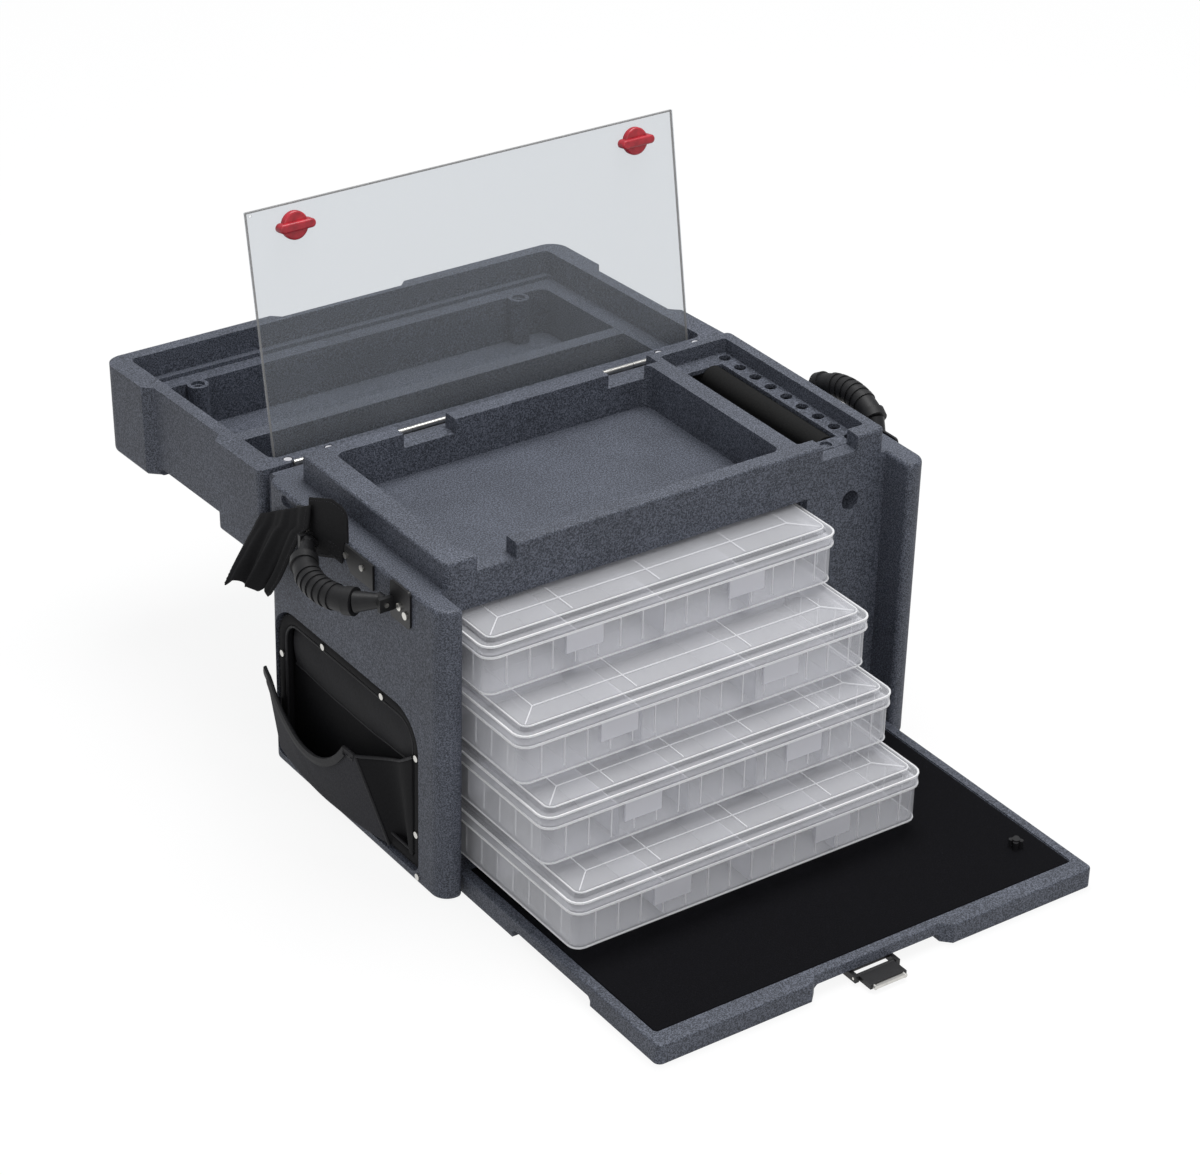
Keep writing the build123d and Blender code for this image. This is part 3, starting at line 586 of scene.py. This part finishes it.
def panel_point(u, z):
    """A point of the bowed front panel, a share of the way along it at a height."""
    t = (z - panel_z0) / (panel_z1 - panel_z0)
    y = (low_y0 + (high_y0 - low_y0) * t) * (1 - u) + (low_y1 + (high_y1 - low_y1) * t) * u
    bow = (panel_bow + panel_bow_rise * t) * (1 - (2 * u - 1) ** 2)
    return (frame_face - panel_stand_off - panel_slant * t - bow, y, z)


def panel_top(u):
    """Height of the scooped edge, found by halving steps because the panel slants."""
    z = panel_z1
    for _ in range(25):
        y = panel_point(u, z)[1]
        away = pocket_scoop_radius ** 2 - (y - scoop_y) ** 2
        goal = min(panel_z1, scoop_z - math.sqrt(away)) if away > 0 else panel_z1
        goal = min(goal, panel_z1 - corner_drop + corner_slope * u)
        z += (goal - z) * 0.5
    return z


tops = [panel_top(i / panel_columns) for i in range(panel_columns + 1)]


def sagging_point(u, v):
    """A point of the front panel's cloth, from its foot to its scooped edge."""
    top = tops[round(u * panel_columns)]
    x, y, z = panel_point(u, panel_z0 + (top - panel_z0) * v)
    sag = wobble(u * 6, v * 3, seed=2.2, size=0.7) * math.sin(math.pi * u) * (0.4 + 0.6 * v)
    return (x + 0.4 + sag * 0.6, y, z)


rows = grid(panel_rows, panel_columns, sagging_point)
top_line = [(x - 0.4, y, z) for x, y, z in rows[-1]]
edge_line = [(row[0][0] - 0.3, row[0][1], row[0][2]) for row in rows]
scoop_tape = tape(top_line, inner=6.0, outer=1.6, thick=3.2)
side_cord = thread(edge_line, binding_radius, sides=8)
piping = mesh_from("pocket_piping", [scoop_tape, side_cord], binding_look, "case")
inner_line = []
for i in range(1, panel_columns):
    x, y, z = panel_point(i / panel_columns, tops[i] - 4.4)
    inner_line.append((x - 2.0, y, z))
stitch_parts += stitches(inner_line)
stitch_parts += stitches([(x - 1.4, y + 4.5, z) for x, y, z in edge_line[:-1]])
front = cloth("pocket_panel", rows, looks["pocket_cloth"], "case", panel_thickness)
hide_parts("pocket_front")

# Slanted flap from the panel's front edge to the padded frame
flap_lift, flap_tuck, flap_sag = 1.5, 9.5, 6


def flap_point(u, v):
    """A point of the flap, tucked in between the panel and the frame."""
    near = panel_point(0, panel_z0 + flap_lift + (tops[0] - flap_lift - panel_z0) * v)
    far = (frame_face - 1.1, pocket_y0 + 11.5, pocket_z0 + 12 + (pocket_z1 - pocket_z0 - 54) * v)
    x, y, z = blend(near, far, u)
    tuck = flap_tuck * math.sin(math.pi * min(1, u * 1.22)) ** 1.2 if u < 0.82 else 0
    ripple = wobble(u * 4, v * 3, seed=0.7, size=0.4)
    return (x + 0.6 + tuck + ripple, y, z - flap_sag * math.sin(math.pi * u) * v)


flap_rows = grid(down=10, across=14, point=flap_point)
flap_cord = thread([(x - 0.4, y, z) for x, y, z in flap_rows[-1]], radius=1.4, sides=8)
flap_edge = mesh_from("pocket_flap_edge", [flap_cord], binding_look, "case")
flap = cloth("pocket_flap", flap_rows, looks["pocket_liner"], "case", 1.3)
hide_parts("pocket_gussets")

# One strip that runs along the pocket's bottom and up its rear side
route = [(i / 24, panel_z0 + 2.5) for i in range(25)] + [(1, panel_z0 + 8 + 9 * j) for j in range(6)]
rows = []
for u, z in route:
    x, y, z = panel_point(u, z)
    inward = 1.6 * max(0, u - 0.97) / 0.03
    rows.append([(frame_face - 0.4 + (x + 0.8 - frame_face) * k / 4, y - inward,
                  z - 0.6 * math.sin(math.pi * k / 4)) for k in range(5)])
boxing = cloth("pocket_boxing", rows, looks["pocket_liner"], "case", liner_thickness)

# Shoulder strap: a standing tab of webbing and the pleated length folded behind it
tab_low, tab_high = limits("strap_tab")
tab_x = tab_low[0] + 1.1
tab_front, tab_rear, tab_foot = tab_low[1] - 9, tab_high[1] + 10, tab_high[2] - tab_height

# Outline of the tab: short at its front, long behind a step, and sloping off to the rear
step_place, step_height, step_sharpness = 7.3, 24, 2.2
top_slope_start, top_slope, foot_slope_start, foot_slope = 24, 0.42, 22, 0.4
rows = []
for i in range(tab_columns + 1):
    t = i / tab_columns
    y = tab_front + (tab_rear - tab_front) * t
    turn_in = max(0, tab_corner - (y - tab_front))
    rounded = tab_corner - math.sqrt(max(0, tab_corner ** 2 - turn_in ** 2))
    top = tab_high[2] + 2 - rounded - max(0, y - top_slope_start) * top_slope
    step = step_height / (1 + math.exp((y - step_place) * step_sharpness))
    bottom = tab_foot + 0.5 - max(0, y - foot_slope_start) * foot_slope + step
    row = []
    for k in range(tab_rows + 1):
        lean = 0.5 * (k / tab_rows) ** 2 * math.sin(2.6 * t + 0.5)
        row.append((tab_x - lean, y, bottom + (top - bottom) * k / tab_rows))
    rows.append(row)

# Stitches along the tab's edges, and a sewn box with one diagonal at its foot
tab_edges = [[(x - 1.0, y, z - 3.0) for x, y, z in [row[-1] for row in rows[2:]]],
             [(x - 1.0, y, z + 3.0) for x, y, z in [row[0] for row in rows[12:]]]]
sewn_y0, sewn_y1, sewn_z0, sewn_z1 = 12, 29, tab_foot + 3, tab_foot + 15
sewn_route = ((sewn_y0, sewn_z0), (sewn_y1, sewn_z0), (sewn_y1, sewn_z1), (sewn_y0, sewn_z1),
              (sewn_y0, sewn_z0), (sewn_y1, sewn_z1))
sewn_box = [(tab_x - 1.0, y, z) for y, z in sewn_route]
for line in tab_edges + [sewn_box]:
    stitch_parts += stitches(line, webbing_stitch, webbing_gap, webbing_thread)
tab = cloth("strap_loop", rows, looks["webbing"], "case", webbing_thickness)
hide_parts("strap_tab")

# Front and rear end of each pleat line, and how deep its pleats are
pleats = (((-252.9, 52.6, 289.0), (-252.4, 138.5, 241.0), 0.8),
          ((-254.6, 53.4, 266.5), (-256.5, 141.0, 232.0), 1.4),
          ((-257.0, 62.0, 258.5), (-259.0, 143.0, 225.0), 2.0),
          ((-262.0, 71.0, 232.0), (-266.5, 145.5, 212.0), 3.2),
          ((-265.5, 80.0, 209.0), (-275.0, 148.5, 195.0), 4.2),
          ((-268.5, 91.0, 190.5), (-282.5, 150.5, 179.0), 4.6))
rows = []
for j in range(fold_rows + 1):
    down = j / fold_rows
    v = down * (len(pleats) - 1)
    k = min(int(v), len(pleats) - 2)
    t = v - k
    first = blend(pleats[k][0], pleats[k + 1][0], t)
    last = blend(pleats[k][1], pleats[k + 1][1], t)
    swing = pleats[k][2] + (pleats[k + 1][2] - pleats[k][2]) * t
    row = []
    for i in range(fold_columns + 1):
        u = i / fold_columns
        x, y, z = blend(first, last, u)
        pleat = math.sin(5 * math.pi * u + 0.4 * j / fold_rows) + 0.35 * math.sin(13 * math.pi * u + 1)
        drop = 3.0 * down * math.sin(7 * math.pi * u)
        ripple = wobble(u * 7, j * 0.2, seed=1.1, size=0.5) * j / fold_rows
        row.append((x - swing * pleat * 0.8 - ripple, y, z - drop))
    rows.append(row)
for end in (3, fold_columns - 3):
    line = [(row[end][0] - 1.2, row[end][1], row[end][2]) for row in rows]
    stitch_parts += stitches(line, webbing_stitch, webbing_gap, webbing_thread)
strap = cloth("strap_fold", rows, looks["webbing"], "case", webbing_thickness)
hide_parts("shoulder_strap")
threads = mesh_from("soft_stitches", stitch_parts, thread_look, "case")

# Felt on the door, with a pressed edge and a hole round the peg
felt_low, felt_high = limits("door_felt")
peg_low, peg_high = limits("door_snap_peg")
peg = ((peg_low[0] + peg_high[0]) / 2, (peg_low[1] + peg_high[1]) / 2)
rows = []
for j in range(felt_rows + 1):
    row = []
    for i in range(felt_columns + 1):
        x = felt_low[0] + felt_margin + (felt_high[0] - felt_low[0] - 2 * felt_margin) * i / felt_columns
        y = felt_low[1] + felt_margin + (felt_high[1] - felt_low[1] - 2 * felt_margin) * j / felt_rows
        away = math.hypot(x - peg[0], y - peg[1])
        if 0.1 < away < felt_hole:
            x = peg[0] + (x - peg[0]) * felt_hole / away
            y = peg[1] + (y - peg[1]) * felt_hole / away
        edge = min(x - felt_low[0], felt_high[0] - x, y - felt_low[1], felt_high[1] - y)
        pressed = pressed_depth * max(0, 1 - edge / pressed_width)
        z = felt_high[2] - 0.55 - pressed + wobble(x * 0.35, y * 0.31, seed=0.9, size=0.07)
        row.append((x, y, z))
    rows.append(row)
felt = cloth("felt_lining", rows, looks["felt"], "door", felt_thickness)
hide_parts("door_felt")

# Foam bar with softened edges
source = nodes["rack_foam_bar"]
foam = bpy.data.objects.new("foam_bar", source.data.copy())
scene.collection.objects.link(foam)
soft = foam.modifiers.new("soft", "BEVEL")
soft.width = 0.0009
soft.segments = 2
soft.limit_method = "ANGLE"
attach(foam, "case")
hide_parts("rack_foam_bar")

# Floor: white to the eye and in reflections, duller for the light that it throws back
bpy.ops.mesh.primitive_plane_add(size=12, location=(0, 0, -0.0008))
floor = bpy.context.object
floor.name = "floor"
material, tree, output = fresh("floor")
paper = tree.nodes.new("ShaderNodeBsdfDiffuse")
paper.inputs["Color"].default_value = (floor_shade, floor_shade, floor_shade, 1)
glow = tree.nodes.new("ShaderNodeEmission")
glow.inputs["Color"].default_value = (1, 1, 1, 1)
glow.inputs["Strength"].default_value = floor_glow
both = tree.nodes.new("ShaderNodeAddShader")
tree.links.new(paper.outputs["BSDF"], both.inputs[0])
tree.links.new(glow.outputs["Emission"], both.inputs[1])
dull = tree.nodes.new("ShaderNodeBsdfDiffuse")
dull.inputs["Color"].default_value = (floor_dull, floor_dull, floor_dull, 1)
path = tree.nodes.new("ShaderNodeLightPath")
any_look = path.outputs["Is Camera Ray"]
for kind in ("Is Glossy Ray", "Is Transmission Ray"):
    either = tree.nodes.new("ShaderNodeMath")
    either.operation = "MAXIMUM"
    tree.links.new(any_look, either.inputs[0])
    tree.links.new(path.outputs[kind], either.inputs[1])
    any_look = either.outputs["Value"]
choose = tree.nodes.new("ShaderNodeMixShader")
tree.links.new(any_look, choose.inputs["Fac"])
tree.links.new(dull.outputs["BSDF"], choose.inputs[1])
tree.links.new(both.outputs["Shader"], choose.inputs[2])
tree.links.new(choose.outputs["Shader"], output.inputs["Surface"])
floor.data.materials.append(material)

# Sky: white behind the object, softer where it lights it
world = bpy.data.worlds.new("world")
scene.world = world
world.use_nodes = True
tree = world.node_tree
tree.nodes.clear()
output = tree.nodes.new("ShaderNodeOutputWorld")
seen = tree.nodes.new("ShaderNodeBackground")
seen.inputs["Color"].default_value = (1, 1, 1, 1)
seen.inputs["Strength"].default_value = 1.0
fill = tree.nodes.new("ShaderNodeBackground")
fill.inputs["Color"].default_value = (*sky_colour, 1)
fill.inputs["Strength"].default_value = sky_strength
path = tree.nodes.new("ShaderNodeLightPath")
mix = tree.nodes.new("ShaderNodeMixShader")
tree.links.new(path.outputs["Is Camera Ray"], mix.inputs["Fac"])
tree.links.new(fill.outputs["Background"], mix.inputs[1])
tree.links.new(seen.outputs["Background"], mix.inputs[2])
tree.links.new(mix.outputs["Shader"], output.inputs["Surface"])


def lamp(name, place, aim, size, power):
    """A square soft light that looks at a point."""
    data = bpy.data.lights.new(name, "AREA")
    data.shape = "SQUARE"
    data.size = size
    data.energy = power
    thing = bpy.data.objects.new(name, data)
    scene.collection.objects.link(thing)
    thing.location = place
    thing.rotation_euler = (Vector(aim) - Vector(place)).to_track_quat("-Z", "Y").to_euler()


lamp("key", place=(0.5, 0.3, 3.0), aim=(0, 0, 0.2), size=1.6, power=67)
lamp("front", place=(-1.0, -2.9, 1.5), aim=(0, 0, 0.15), size=1.8, power=19)

# Camera
back = Vector((math.sin(camera_azimuth) * math.cos(camera_elevation),
               -math.cos(camera_azimuth) * math.cos(camera_elevation), math.sin(camera_elevation)))
right = Vector((math.cos(camera_azimuth), math.sin(camera_azimuth), 0))
up = back.cross(right)
right_rolled = right * math.cos(camera_roll) + up * math.sin(camera_roll)
up_rolled = up * math.cos(camera_roll) - right * math.sin(camera_roll)
lens = bpy.data.cameras.new("camera")
lens.sensor_width = 36
lens.sensor_fit = "HORIZONTAL"
lens.lens = camera_lens
lens.shift_x, lens.shift_y = camera_shift
lens.clip_end = 50
camera = bpy.data.objects.new("camera", lens)
scene.collection.objects.link(camera)
turn = Matrix((right_rolled, up_rolled, back)).transposed().to_4x4()
turn.translation = camera_target + back * camera_distance
camera.matrix_world = turn
scene.camera = camera
scene.view_settings.view_transform = "Standard"
